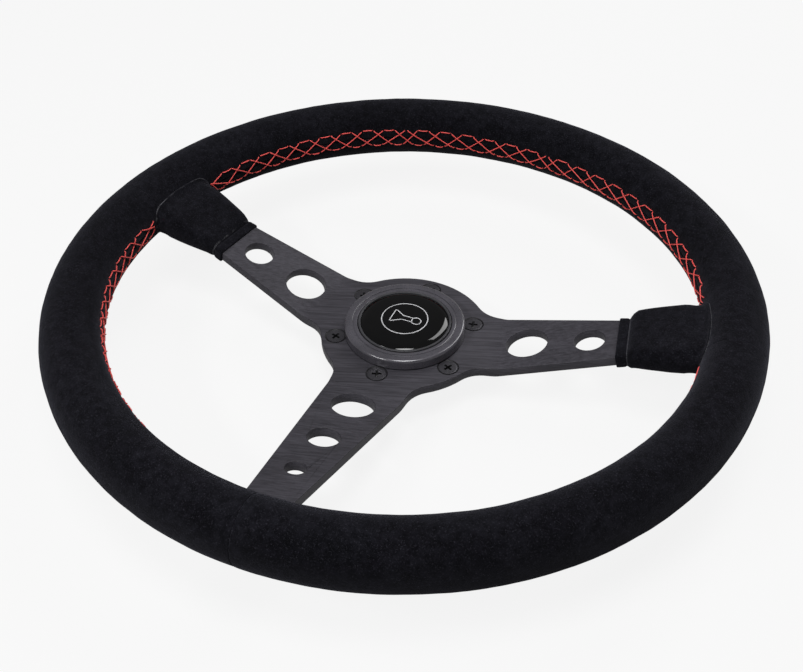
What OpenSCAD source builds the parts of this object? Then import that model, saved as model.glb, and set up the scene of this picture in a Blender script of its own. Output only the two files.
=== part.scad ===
// Dished three-spoke competition steering wheel with a suede grip and a centre horn button.
// Frame: origin at the centre of the hub's rear seating face, +Z along the steering axis
// towards the driver, +Y to twelve o'clock, +X to the driver's right. Millimetres.

/* [Rim] */
// Outside diameter of the wheel over the suede
rim_d = 350; // [330:1:360]
// Grip thickness measured in the plane of the wheel
grip_w = 29.5; // [27:0.5:32]
// Grip thickness measured along the steering axis
grip_h = 31.5; // [29:0.5:34]
// Height of the grip's centre above the hub's front face
dish = 23; // [22:0.5:24]
// Thickness of the suede
suede_t = 1.3; // [1:0.1:1.6]
// Width of the hoop inside the grip
hoop_w = 14; // [12:0.5:15]
// Thickness of the hoop inside the grip
hoop_t = 5; // [4:0.5:5]

/* [Spokes] */
// Thickness of the spoke plate
plate_t = 5; // [4:0.5:5]
// Radius of the plate's round centre
hub_r = 42.4; // [41:0.1:44]
// Half the width that a spoke would have at the steering axis
spoke_root = 23.8; // [22:0.1:25]
// Taper of each spoke edge, in millimetres per millimetre
spoke_taper = 0.092; // [0.07:0.001:0.1]
// Upward slope of the spokes, in degrees
spoke_slope = 14.1; // [13:0.1:15]
// Distance of the bend from the steering axis
bend_at = 49.2; // [47.5:0.1:50.5]
// Height of the side spokes above the horizontal, in degrees
side_lift = 10.2; // [8:0.1:12]
// Radius of the fillet between a spoke and the centre
hub_fillet = 15; // [12:0.5:18]

/* [Hub bolts] */
// Bolt circle diameter
bolt_circle = 70; // [70:0.5:71]
// Number of hub screws
bolt_count = 6; // [6]
// Radius of the clearance hole for a hub screw
bolt_hole_r = 2.65; // [2.6:0.05:2.8]
// Nominal radius of a hub screw
bolt_r = 2.5; // [2.5]
// Overall length of a countersunk hub screw
bolt_length = 10; // [9:1:14]

/* [Sleeves] */
// Radius at which the side sleeves begin
sleeve_start = 105.5; // [103:0.5:107]
// Length of the sewn hem
hem_length = 6; // [5:0.5:7]
// Width of the sleeve just after the hem
sleeve_w1 = 37; // [35:0.5:38]
// Thickness of the sleeve just after the hem
sleeve_t1 = 10.5; // [10:0.5:12]
// Width of the sleeve where it meets the grip
sleeve_w2 = 43; // [41:0.5:45]
// Thickness of the sleeve where it meets the grip
sleeve_t2 = 17; // [15:0.5:19]
// How far the padding sits above the middle of the plate at the hub end
sleeve_lift = 0.8; // [0:0.1:1.5]

/* [Horn button] */
// Radius of the bezel round the button
bezel_r = 30.4; // [29.8:0.1:30.8]
// Height of the bezel above the plate
bezel_h = 6; // [6:0.1:6.4]
// Radius of the opening in the bezel
bezel_open_r = 23.8; // [23.7:0.1:24]
// Radius of the domed emblem
emblem_r = 22.2; // [21:0.1:22.2]
// Rise of the emblem's dome
dome_h = 1.3; // [0.8:0.1:1.6]
// Travel of the horn button
press = 2; // [1.5:0.1:2]

/* [Hidden] */
$fn = 96;
eps = 0.01;
// Step small enough to be nothing on the object, which keeps joined faces from almost coinciding
hair = 0.002;
big = 400;

// Angles of the spokes, counter-clockwise from +X
right_at = side_lift;
left_at = 180 - side_lift;
bottom_at = 270;
spoke_angles = [right_at, left_at, bottom_at];

// Grip
grip_a = grip_w / 2;
grip_b = grip_h / 2;
rim_r = rim_d / 2 - grip_a;
rim_z = plate_t + dish;
seam_slit = 0.5;
seam_angle = 1;
right_seam = 3.8;
left_seam = 180 - right_seam;
panel_gap = 0.15;

// Spoke frame: the plate's top face is z = 0 there, and x runs along the sloping spoke
bend_inner = 12;
bend_steps = 12;
flat_end = bend_at - bend_inner * tan(spoke_slope / 2);
slope_start = flat_end + bend_inner * sin(spoke_slope);
slope_start_z = plate_t + bend_inner * (1 - cos(spoke_slope));
tab_start = 149;
tab_end = 168;
tab_top = slope_start_z + (tab_start - slope_start) * tan(spoke_slope);
tab_half_w = 9;
hoop_top = tab_top - plate_t;
tab_foot = tab_start + plate_t * tan(spoke_slope / 2);
lead_in = 4;

// Lightening holes: distance from the axis and radius
holes = [[61.9, 10.4], [92.2, 7.6], [118.7, 4.75]];

// Rivets between the tabs and the hoop
rivet_r = 2.5;
rivet_head_r = 4;
rivet_head_h = 1.6;
rivet_side = 5;

// Hub screws
head_r = 5;
head_taper = head_r - bolt_r;
// Root of the thread, which is also the neck inside the plate
neck_r = 2.1;
recess_w = 1.1;
recess_l = 4.8;
recess_depth = 2;
recess_point = 45;

// Stitching band on the inside of the grip
stitch_half = 19;
stitch_t = 0.7;
stitch_top_end = 9.6;
stitch_spoke_end = 5.2;

// Sleeves, in the spoke frame
hem_t = 1.1;
clear = 0.1;
spoke_mid = -plate_t / 2;
sleeve_x0 = (sleeve_start - slope_start) / cos(spoke_slope);
sleeve_x1 = sleeve_x0 + hem_length - 1;
sleeve_x2 = (rim_r - slope_start) / cos(spoke_slope);
hull_fn = 32;

// Horn button heights, from the plate's front face
front = plate_t;
gasket_t = 0.5;
flange_t = 1.5;
bore_r = 27.5;
barrel_r = 27.3;
barrel_in_r = 25.3;
flange_r = 28.8;
lip_t = 2;
cap_gap = 0.3;
cap_flange_r = 25;
cap_flange_t = 1.2;
cap_r = bezel_open_r - 0.4;
bezel_top = front + bezel_h;
lip_z = bezel_top - lip_t;
cap_flange_top = lip_z - cap_gap;
cap_top = bezel_top + 0.4;
emblem_floor = cap_top - 0.8;
emblem_edge_z = bezel_top + 0.7;
cup_floor_z = -9;
cup_wall = 1.5;
cup_inside_z = cup_floor_z + cup_wall;

// Horn contacts
contact_t = 0.7;
ring_in_r = 11;
ring_out_r = 19;
disc_r = 13.8;
disc_t = 0.6;
disc_z = contact_t + cap_gap + press;
post_at = 16.5;
post_r = 2.8;
post_count = 3;
boss_r = 8;
screw_r = 1.25;
screw_head_r = 1.9;
screw_head_h = 1.3;
spring_r = 9;
wire_r = 0.6;
spring_turns = 4.5;
blade_w = 6.3;
blade_t = 0.8;
blade_bottom = -17;
blade_at = 15;
blade_angles = [60, 180];
foot_t = 0.6;

plate_colour = [0.27, 0.27, 0.29];
suede_colour = [0.08, 0.08, 0.09];
thread_colour = [0.85, 0.2, 0.2];
brass_colour = [0.78, 0.62, 0.3];
steel_colour = [0.62, 0.63, 0.65];

// Half the width of a spoke at distance r from the axis
function half_w(r) = spoke_root - spoke_taper * r;

// ---- Plate ----

// Corner web between the round centre and one edge of a spoke along +X. Its arc runs a hair
// inside both, so that it crosses their edges instead of only touching them.
module hub_web() {
    arc_at = hub_fillet - hair;
    tilt = atan(spoke_taper);
    normal = [sin(tilt), cos(tilt)];
    along = [cos(tilt), -sin(tilt)];
    reach = spoke_root * cos(tilt) + arc_at;
    run = sqrt(pow(hub_r + arc_at, 2) - pow(reach, 2));
    centre = normal * reach + along * run;
    on_hub = centre * hub_r / (hub_r + arc_at);
    on_edge = centre - normal * arc_at;
    difference() {
        polygon([[0, 0], on_hub, centre, on_edge]);
        translate(centre) circle(hub_fillet);
    }
}

// Spoke along +X between two distances from the axis
module spoke_shape(from, to) {
    polygon([[from, -half_w(from)], [to, -half_w(to)], [to, half_w(to)], [from, half_w(from)]]);
}

// Outline of one spoke and its tab, seen along the steering axis
module spoke_outline() {
    spoke_shape(0, tab_start);
    translate([tab_start - lead_in, -tab_half_w]) square([tab_end - tab_start + lead_in, 2 * tab_half_w]);
}

// Prism over the plate's whole outline
module plate_prism() {
    tall = tab_top + 2;
    translate([0, 0, -1]) {
        cylinder(r = hub_r, h = tall);
        for (a = spoke_angles) rotate(a) {
            linear_extrude(tall) spoke_outline();
            linear_extrude(tall) hub_web();
            linear_extrude(tall) mirror([0, 1]) hub_web();
        }
    }
}

// Points round the bend at distance r from its centre, from the flat to the slope
function bend_curve(r) = [for (i = [0:bend_steps]) let (a = spoke_slope * i / bend_steps)
    [flat_end + r * sin(a), plate_t + bend_inner - r * cos(a)]];

// Side view of one spoke: flat lead-in, bend, slope and riveted tab
module spoke_profile() {
    under = bend_curve(bend_inner + plate_t);
    over = bend_curve(bend_inner);
    polygon(concat(
        [[flat_end - lead_in, plate_t - hair], [flat_end - lead_in, 0]],
        under,
        [[tab_foot, hoop_top], [tab_end, hoop_top], [tab_end, tab_top], [tab_start, tab_top]],
        [for (i = [bend_steps:-1:0]) over[i]]
    ));
}

// Wide strip with the spoke's side view, along the spoke at angle a
module formed_strip(a, width) {
    rotate([0, 0, a]) rotate([90, 0, 0]) linear_extrude(width, center = true) spoke_profile();
}

// Flat sheet inside the three bends
module flat_sheet() {
    reach = flat_end - lead_in / 2;
    linear_extrude(plate_t) polygon([for (i = [0:2]) let (
            a = spoke_angles[i],
            b = spoke_angles[(i + 1) % 3],
            half = (b - a + (b < a ? 360 : 0)) / 2
        ) each [
            reach * [cos(a), sin(a)] + hub_r * [sin(a), -cos(a)],
            reach * [cos(a), sin(a)] + hub_r * [-sin(a), cos(a)],
            1.3 * hub_r * [cos(a + half), sin(a + half)]
        ]]);
}

// Plate before its holes are cut
module plate_blank() {
    intersection() {
        union() {
            flat_sheet();
            for (a = spoke_angles) formed_strip(a, 2 * hub_r);
        }
        plate_prism();
    }
}

// Moves children to the spoke frame of the spoke at angle a
module on_spoke(a) {
    rotate([0, 0, a]) translate([slope_start, 0, slope_start_z]) rotate([0, -spoke_slope, 0]) children();
}

// Sloping length of one spoke in the spoke frame, with room all round
module spoke_slab(grow) {
    length = (tab_start - slope_start) / cos(spoke_slope);
    translate([0, 0, -plate_t - grow]) linear_extrude(plate_t + 2 * grow)
        polygon([[0, -half_w(slope_start) - grow], [length, -half_w(tab_start) - grow],
            [length, half_w(tab_start) + grow], [0, half_w(slope_start) + grow]]);
}

module rivet_places() {
    for (a = spoke_angles, s = [-1, 1]) rotate([0, 0, a]) translate([rim_r, s * rivet_side, 0]) children();
}

module bolt_places() {
    for (i = [0:bolt_count - 1]) rotate([0, 0, 30 + i * 360 / bolt_count])
        translate([bolt_circle / 2, 0, 0]) children();
}

module spoke_plate() {
    color(plate_colour) difference() {
        plate_blank();
        translate([0, 0, -1]) cylinder(r = bore_r, h = plate_t + 2);
        bolt_places() {
            translate([0, 0, -1]) cylinder(r = bolt_hole_r, h = plate_t + 2);
            translate([0, 0, plate_t - head_taper])
                cylinder(r1 = bolt_r + clear, r2 = head_r + clear + eps, h = head_taper + eps);
        }
        for (a = spoke_angles, hole = holes) on_spoke(a)
            translate([(hole[0] - slope_start) / cos(spoke_slope), 0, -2 * plate_t])
                cylinder(r = hole[1], h = 3 * plate_t);
        rivet_places() translate([0, 0, hoop_top - 1]) cylinder(r = rivet_r, h = plate_t + 2);
    }
}

// ---- Rim ----

module rim_hoop() {
    color(steel_colour) difference() {
        translate([0, 0, hoop_top - hoop_t]) rotate_extrude()
            translate([rim_r - hoop_w / 2, 0]) square([hoop_w, hoop_t]);
        rivet_places() translate([0, 0, hoop_top - hoop_t - 1]) cylinder(r = rivet_r, h = hoop_t + 2);
    }
}

// One rivet: a shank through the tab and the hoop, with a low domed head at each end
module rivet() {
    dome_r = (pow(rivet_head_r, 2) + pow(rivet_head_h, 2)) / (2 * rivet_head_h);
    bottom = hoop_top - hoop_t;
    top = hoop_top + plate_t;
    translate([0, 0, bottom]) cylinder(r = rivet_r, h = top - bottom);
    intersection() {
        translate([0, 0, top + rivet_head_h - dome_r]) sphere(dome_r);
        translate([0, 0, top]) cylinder(r = rivet_head_r, h = rivet_head_h);
    }
    intersection() {
        translate([0, 0, bottom - rivet_head_h + dome_r]) sphere(dome_r);
        translate([0, 0, bottom - rivet_head_h]) cylinder(r = rivet_head_r, h = rivet_head_h);
    }
}

module hoop_rivets() {
    color(steel_colour) rivet_places() rivet();
}

// Cross-section of the grip, a circle drawn out along the steering axis
module grip_section(grow = 0) {
    r = grip_a + grow;
    stretch = grip_b - grip_a;
    translate([rim_r, rim_z]) {
        for (s = [-1, 1]) translate([0, s * stretch]) circle(r);
        square([2 * r, 2 * stretch], center = true);
    }
}

// Wedge that opens inwards from the grip's centre, half_angle each side of the seam
module inner_wedge(half_angle) {
    reach = 2 * grip_a;
    translate([rim_r, rim_z]) polygon([[0, 0],
        reach * [-cos(seam_angle + half_angle), sin(seam_angle + half_angle)],
        1.2 * reach * [-cos(seam_angle), sin(seam_angle)],
        reach * [-cos(seam_angle - half_angle), sin(seam_angle - half_angle)]]);
}

module rim_foam() {
    pocket_h = plate_t + hoop_t + 2 * rivet_head_h;
    color([0.15, 0.15, 0.15]) difference() {
        rotate_extrude() grip_section(-suede_t);
        translate([0, 0, hoop_top - hoop_t]) rotate_extrude()
            translate([rim_r - hoop_w / 2, 0]) square([hoop_w, hoop_t]);
        plate_blank();
        rivet_places() translate([0, 0, hoop_top - hoop_t - rivet_head_h]) cylinder(r = rivet_head_r, h = pocket_h);
    }
}

// Suede strip from one angle to another, butted along a slit on the inside of the grip
module suede_strip(from, to) {
    color(suede_colour) difference() {
        rotate_extrude(angle = to - from - 2 * panel_gap, start = from + panel_gap) difference() {
            grip_section();
            grip_section(-suede_t);
            translate([rim_r, rim_z]) rotate(-seam_angle)
                translate([-2 * grip_a, -seam_slit / 2]) square([2 * grip_a, seam_slit]);
        }
        for (a = spoke_angles) on_spoke(a) spoke_slab(clear);
    }
}

module cover_top() {
    suede_strip(right_seam, left_seam);
}

module cover_left() {
    suede_strip(left_seam, bottom_at);
}

module cover_right() {
    suede_strip(bottom_at, right_seam + 360);
}

// ---- Sleeves ----

// Rounded wedge round a side spoke, in the spoke frame
module sleeve_form(shrink) {
    r1 = sleeve_t1 / 2;
    r2 = sleeve_t2 / 2;
    hull() for (s = [-1, 1]) {
        translate([sleeve_x1 + r1, s * (sleeve_w1 / 2 - r1), spoke_mid + sleeve_lift])
            sphere(r1 - shrink, $fn = hull_fn);
        translate([sleeve_x2 - 1, s * (sleeve_w2 / 2 - r2), spoke_mid + sleeve_lift / 3]) rotate([0, 90, 0])
            cylinder(r = r2 - shrink, h = 1, $fn = hull_fn);
    }
}

// Part of the grip near the spoke at angle a, used to trim what butts against it
module grip_trim(a) {
    span = 40;
    rotate_extrude(angle = span, start = a - span / 2) grip_section(2 * eps);
}

module thumb_pad(a) {
    color([0.2, 0.2, 0.2]) difference() {
        on_spoke(a) sleeve_form(suede_t);
        on_spoke(a) spoke_slab(clear / 2);
        grip_trim(a);
    }
}

module sleeve(a) {
    hem_end = sleeve_x1 + sleeve_t1 / 2;
    hem_half = half_w(sleeve_start) + hem_t;
    color(suede_colour) difference() {
        on_spoke(a) {
            difference() {
                sleeve_form(0);
                sleeve_form(suede_t);
            }
            translate([sleeve_x0, -hem_half, -plate_t - hem_t])
                cube([hem_end - sleeve_x0 - suede_t, 2 * hem_half, plate_t + 2 * hem_t]);
        }
        on_spoke(a) spoke_slab(clear / 2);
        on_spoke(a) sleeve_form(suede_t);
        grip_trim(a);
    }
}

module pad_left() {
    thumb_pad(left_at);
}

module pad_right() {
    thumb_pad(right_at);
}

module sleeve_left() {
    sleeve(left_at);
}

module sleeve_right() {
    sleeve(right_at);
}

// ---- Stitching ----

// Band that the cross stitches cover, lying on the suede
module stitching(from, to) {
    color(thread_colour) rotate_extrude(angle = to - from, start = from) intersection() {
        difference() {
            grip_section(stitch_t);
            grip_section(2 * eps);
        }
        inner_wedge(stitch_half);
    }
}

module stitching_top() {
    stitching(right_at + stitch_top_end, left_at - stitch_top_end);
}

module stitching_left() {
    stitching(left_at + stitch_top_end, bottom_at - stitch_spoke_end);
}

module stitching_right() {
    stitching(bottom_at + stitch_spoke_end, right_at + 360 - stitch_top_end);
}

// ---- Hub screws ----

module cross_recess(width, length, depth) {
    intersection() {
        translate([0, 0, -depth]) cylinder(r1 = width / 2, r2 = length / 2 + eps, h = depth + eps);
        for (a = [recess_point, recess_point + 90]) rotate([0, 0, a])
            translate([-length / 2, -width / 2, -depth - eps]) cube([length, width, depth + 1]);
    }
}

// Countersunk screws, with a full thread only behind the plate
module hub_screws() {
    color([0.1, 0.1, 0.11]) bolt_places() difference() {
        rotate_extrude() polygon([[0, plate_t - bolt_length], [bolt_r - 0.4, plate_t - bolt_length],
            [bolt_r, plate_t - bolt_length + 0.4], [bolt_r, 0], [neck_r, 0],
            [neck_r, plate_t - head_r + neck_r], [head_r, plate_t], [0, plate_t]]);
        translate([0, 0, plate_t]) cross_recess(recess_w, recess_l, recess_depth);
    }
}

// ---- Horn button ----

module tube(outer, inner, bottom, top) {
    translate([0, 0, bottom]) difference() {
        cylinder(r = outer, h = top - bottom);
        translate([0, 0, -1]) cylinder(r = inner, h = top - bottom + 2);
    }
}

module horn_gasket() {
    color([0.05, 0.05, 0.05]) tube(bezel_r - 0.9, bore_r + clear, front, front + gasket_t);
}

// Ring with a rounded shoulder, a fine groove on top and a lip that keeps the cap in
module horn_bezel() {
    bottom = front + gasket_t;
    flange_top = bottom + flange_t;
    shoulder = 1.4;
    groove_r = 26;
    groove = 0.4;
    color([0.29, 0.29, 0.31]) rotate_extrude() difference() {
        union() {
            translate([bezel_open_r, bottom])
                square([bezel_r - shoulder - bezel_open_r, bezel_top - bottom]);
            translate([bezel_open_r, bottom]) square([bezel_r - bezel_open_r, bezel_h - gasket_t - shoulder]);
            translate([bezel_r - shoulder, bezel_top - shoulder]) circle(shoulder);
        }
        translate([0, bottom - 1]) square([flange_r + clear, flange_t + 1 + clear]);
        translate([0, bottom]) square([barrel_in_r + clear, lip_z - bottom]);
        translate([groove_r, bezel_top - groove]) square([groove, groove + 1]);
    }
}

// Barrel through the plate, with a flange on top, a floor and three contact posts
module horn_cup() {
    flange_z = front + gasket_t;
    clip_z = -1.5;
    clip_h = 1.4;
    color([0.12, 0.12, 0.12]) difference() {
        union() {
            tube(flange_r, barrel_in_r, flange_z, flange_z + flange_t);
            tube(barrel_r, barrel_in_r, cup_floor_z, flange_z + eps);
            translate([0, 0, cup_floor_z]) cylinder(r = barrel_in_r + eps, h = cup_wall);
            for (i = [0:post_count - 1]) rotate([0, 0, i * 360 / post_count])
                translate([post_at, 0, cup_floor_z + eps]) cylinder(r = post_r, h = -cup_floor_z - eps);
        }
        tube(barrel_r + 1, barrel_r - 0.7, clip_z, clip_z + clip_h);
        for (i = [0:post_count - 1]) rotate([0, 0, i * 360 / post_count])
            translate([post_at, 0, -5]) cylinder(r = screw_r, h = 6);
        for (a = blade_angles) rotate([0, 0, a]) translate([blade_at, 0, cup_floor_z + cup_wall / 2])
            cube([blade_t + 2 * clear, blade_w + 2 * clear, 2 * cup_wall], center = true);
    }
}

// Open spring ring that locks the barrel behind the plate
module horn_clip() {
    color(steel_colour) difference() {
        tube(barrel_r + 1.8, barrel_r - 0.6, -1.4, -0.2);
        translate([0, 0, -5]) linear_extrude(10)
            polygon([[0, 0], [big * sin(10), big * cos(10)], [-big * sin(10), big * cos(10)]]);
    }
}

// Moving cap: guide flange under the bezel's lip, and a boss for the contact disc
module horn_cap() {
    skirt = 1.5;
    skirt_z = front;
    color([0.14, 0.14, 0.15]) difference() {
        union() {
            rotate_extrude() polygon([[0, cap_flange_top - cap_flange_t], [cap_flange_r, cap_flange_top - cap_flange_t],
                [cap_flange_r, cap_flange_top], [cap_r, cap_flange_top], [cap_r, cap_top - 0.3],
                [cap_r - 0.3, cap_top], [0, cap_top]]);
            tube(cap_r, cap_r - skirt, skirt_z, cap_flange_top);
            translate([0, 0, disc_z + disc_t]) cylinder(r = boss_r, h = cap_flange_top - disc_z - disc_t);
        }
        translate([0, 0, emblem_floor]) cylinder(r = emblem_r + 0.05, h = 2);
        translate([0, 0, disc_z]) cylinder(r = screw_r, h = 4);
    }
}

// Domed emblem set into the cap
module horn_emblem() {
    dome_r = (pow(emblem_r, 2) + pow(dome_h, 2)) / (2 * dome_h);
    color([0.03, 0.03, 0.03]) rotate_extrude() intersection() {
        translate([0, emblem_floor]) square([emblem_r, 5]);
        translate([0, emblem_edge_z + dome_h - dome_r]) circle(dome_r, $fn = 720);
    }
}

// Coil of round wire between the ground terminal's foot and the contact disc
module horn_spring() {
    bottom = cup_inside_z + foot_t + wire_r;
    height = disc_z - wire_r - bottom;
    steps = 18 * spring_turns;
    sides = 8;
    rings = [for (i = [0:steps]) let (
            a = 360 * spring_turns * i / steps,
            z = bottom + height * i / steps
        ) [for (k = [0:sides - 1]) let (b = 360 * k / sides, r = spring_r + wire_r * cos(b))
            [r * cos(a), r * sin(a), z + wire_r * sin(b)]]];
    points = [for (ring = rings) each ring];
    walls = [for (i = [0:steps - 1], k = [0:sides - 1]) let (n = (k + 1) % sides)
        [i * sides + k, i * sides + n, (i + 1) * sides + n, (i + 1) * sides + k]];
    start = [for (k = [sides - 1:-1:0]) k];
    finish = [for (k = [0:sides - 1]) steps * sides + k];
    color(steel_colour) polyhedron(points, concat(walls, [start, finish]), convexity = 8);
}

module contact_disc() {
    color(brass_colour) tube(disc_r, screw_r + clear, disc_z, disc_z + disc_t);
}

module contact_screw() {
    color(steel_colour) {
        translate([0, 0, disc_z - 1]) cylinder(r = 2.6, h = 1);
        translate([0, 0, disc_z - eps]) cylinder(r = screw_r, h = 4);
    }
}

module contact_ring() {
    color(brass_colour) difference() {
        tube(ring_out_r, ring_in_r, 0, contact_t);
        for (i = [0:post_count - 1]) rotate([0, 0, i * 360 / post_count])
            translate([post_at, 0, -1]) cylinder(r = screw_r + clear, h = 3);
    }
}

module contact_ring_screws() {
    color(steel_colour) for (i = [0:post_count - 1]) rotate([0, 0, i * 360 / post_count])
        translate([post_at, 0, 0]) {
            translate([0, 0, contact_t]) cylinder(r = screw_head_r, h = screw_head_h);
            translate([0, 0, -4.5]) cylinder(r = screw_r, h = 4.5 + contact_t + eps);
        }
}

// Live blade up to the contact ring, and ground blade with a foot under the spring
module horn_terminals() {
    color(brass_colour) {
        rotate([0, 0, blade_angles[0]]) translate([blade_at - blade_t / 2, -blade_w / 2, blade_bottom])
            cube([blade_t, blade_w, -blade_bottom]);
        rotate([0, 0, blade_angles[1]]) {
            translate([blade_at - blade_t / 2, -blade_w / 2, blade_bottom])
                cube([blade_t, blade_w, cup_inside_z - blade_bottom + foot_t]);
            translate([4, -blade_w / 2, cup_inside_z]) cube([blade_at - 4, blade_w, foot_t]);
        }
    }
}

spoke_plate();
rim_hoop();
hoop_rivets();
rim_foam();
cover_top();
cover_left();
cover_right();
pad_left();
pad_right();
sleeve_left();
sleeve_right();
stitching_top();
stitching_left();
stitching_right();
hub_screws();
horn_gasket();
horn_bezel();
horn_cup();
horn_clip();
horn_cap();
horn_emblem();
horn_spring();
contact_disc();
contact_screw();
contact_ring();
contact_ring_screws();
horn_terminals();
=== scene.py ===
import math
import random

import bmesh
import bpy
import numpy as np
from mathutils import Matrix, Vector, noise


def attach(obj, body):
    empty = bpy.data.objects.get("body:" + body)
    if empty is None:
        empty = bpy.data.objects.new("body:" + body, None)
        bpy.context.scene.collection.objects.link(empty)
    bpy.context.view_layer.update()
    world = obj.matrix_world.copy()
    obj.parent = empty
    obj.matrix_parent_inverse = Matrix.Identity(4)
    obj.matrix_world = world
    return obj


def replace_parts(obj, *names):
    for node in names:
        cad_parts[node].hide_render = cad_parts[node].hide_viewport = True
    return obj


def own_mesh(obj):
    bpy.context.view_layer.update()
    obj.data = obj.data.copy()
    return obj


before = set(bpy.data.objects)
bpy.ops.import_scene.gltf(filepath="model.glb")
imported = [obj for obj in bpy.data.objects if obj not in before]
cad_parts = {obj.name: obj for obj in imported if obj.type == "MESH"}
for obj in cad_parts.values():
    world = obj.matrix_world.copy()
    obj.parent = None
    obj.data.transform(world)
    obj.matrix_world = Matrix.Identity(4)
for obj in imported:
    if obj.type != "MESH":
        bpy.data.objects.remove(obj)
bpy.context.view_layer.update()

MM = 0.001
rad = math.radians

# Sizes in millimetres, the same as the part's
GRIP_A = 14.75
GRIP_B = 15.75
RIM_R = 160.25
RIM_Z = 28.0
SUEDE = 1.3
PLATE = 5.0
SLOPE = rad(14.1)
SLOPE_START = 50.639
SLOPE_START_Z = 5.3615
SPOKE_ROOT = 23.8
SPOKE_TAPER = 0.092
RIGHT_AT = 10.2
LEFT_AT = 169.8
BOTTOM_AT = 270.0
RIGHT_SEAM = 3.8
LEFT_SEAM = 176.2
BEZEL_R = 30.4
BEZEL_TOP = 11.0
BOLT_CIRCLE = 70.0
EMBLEM_R = 22.2
EMBLEM_FLOOR = 10.6
EMBLEM_EDGE = 11.7
CAP_TOP = 11.4
DOME = 1.3
SPRING_R = 9.0
WIRE_R = 0.6
SPRING_LOW = -6.3
SPRING_HIGH = 2.4
SPRING_TURNS = 4.5

STRETCH = GRIP_B - GRIP_A
GIRTH = 2 * math.pi * GRIP_A + 4 * STRETCH


# ---------------------------------------------------------------- meshes

def new_mesh(name, points, faces, recalc=True):
    """A mesh from points in millimetres, whose faces look outwards."""
    mesh = bpy.data.meshes.new(name)
    mesh.from_pydata((np.asarray(points, float) * MM).tolist(), [], [list(map(int, f)) for f in faces])
    if recalc:
        work = bmesh.new()
        work.from_mesh(mesh)
        bmesh.ops.recalc_face_normals(work, faces=work.faces)
        # The recalculation can turn a thin undercut disc inside out
        if work.calc_volume(signed=True) < 0:
            bmesh.ops.reverse_faces(work, faces=work.faces)
        work.to_mesh(mesh)
        work.free()
    return mesh


def placed(name, data):
    """A new object of the scene that shows a mesh, lamp or camera."""
    obj = bpy.data.objects.new(name, data)
    bpy.context.scene.collection.objects.link(obj)
    return obj


def make(name, points, faces, material, body, smooth=True, recalc=True):
    """A mesh piece from points in millimetres, riding on a body."""
    mesh = new_mesh(name, points, faces, recalc)
    if smooth:
        mesh.shade_smooth()
    mesh.update()
    obj = placed(name, mesh)
    obj.data.materials.append(material)
    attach(obj, body)
    return obj


def rings_to_faces(rings, sides, closed_ring=True, closed_run=False, base=0):
    """Quads between successive rings of equal size."""
    faces = []
    for i in range(rings if closed_run else rings - 1):
        here, there = base + i * sides, base + ((i + 1) % rings) * sides
        for k in range(sides if closed_ring else sides - 1):
            n = (k + 1) % sides
            faces.append((here + k, here + n, there + n, there + k))
    return faces


def lathe(profile, sides=128):
    """Points and faces of a closed profile of (radius, height), turned about the axis."""
    turn = np.arange(sides) * 2 * math.pi / sides
    points, faces, starts = [], [], []
    for r, z in profile:
        if r < 1e-9:
            starts.append((len(points), 1))
            points.append((0, 0, z))
        else:
            starts.append((len(points), sides))
            points += np.stack([r * np.cos(turn), r * np.sin(turn), z + 0 * turn], -1).tolist()
    on_axis = profile[0][0] < 1e-9
    pairs = list(zip(starts[:-1], starts[1:]))
    if not on_axis:
        pairs.append((starts[-1], starts[0]))
    for (a, na), (b, nb) in pairs:
        if na == 1 and nb == 1:
            continue
        for k in range(sides):
            n = (k + 1) % sides
            if na == 1:
                faces.append((a, b + n, b + k))
            elif nb == 1:
                faces.append((a + k, a + n, b))
            else:
                faces.append((a + k, a + n, b + n, b + k))
    return points, faces


def rounded(profile, radius, steps=4):
    """The closed profile with each corner off the axis rounded to the given radius."""
    out = []
    count = len(profile)
    for i, p in enumerate(profile):
        p = Vector(p)
        before, after = Vector(profile[i - 1]) - p, Vector(profile[(i + 1) % count]) - p
        if p.x < 1e-9:
            out.append(tuple(p))
            continue
        half = before.angle(after) / 2
        reach = min(radius / math.tan(half), 0.45 * before.length, 0.45 * after.length)
        a, b = p + before.normalized() * reach, p + after.normalized() * reach
        for k in range(steps + 1):
            t = k / steps
            out.append(tuple((1 - t) ** 2 * a + 2 * t * (1 - t) * p + t * t * b))
    return out


def sweep(paths, radius, sides=8, lobes=2, lobe_depth=0.0, twist=0.0):
    """Tubes along paths of (points, normals), with capped ends and a twisted, lobed section."""
    points, faces = [], []
    turn = np.arange(sides) * 2 * math.pi / sides
    for path, normals in paths:
        path = np.asarray(path, float)
        along = np.gradient(path, axis=0)
        step = np.r_[0, np.cumsum(np.linalg.norm(np.diff(path, axis=0), axis=1))]
        along /= np.linalg.norm(along, axis=1)[:, None]
        up = np.asarray(normals, float)
        up = up - (up * along).sum(1)[:, None] * along
        up /= np.linalg.norm(up, axis=1)[:, None]
        side = np.cross(along, up)
        r = radius * (1 + lobe_depth * np.cos(lobes * (turn[None, :] - twist * step[:, None])))
        ring = path[:, None] + r[..., None] * (np.cos(turn)[None, :, None] * side[:, None]
                                               + np.sin(turn)[None, :, None] * up[:, None])
        base = len(points)
        points += ring.reshape(-1, 3).tolist()
        faces += rings_to_faces(len(path), sides, base=base)
        faces.append(tuple(base + k for k in range(sides)))
        faces.append(tuple(base + (len(path) - 1) * sides + k for k in range(sides - 1, -1, -1)))
    return points, faces


# ---------------------------------------------------------------- materials

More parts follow.
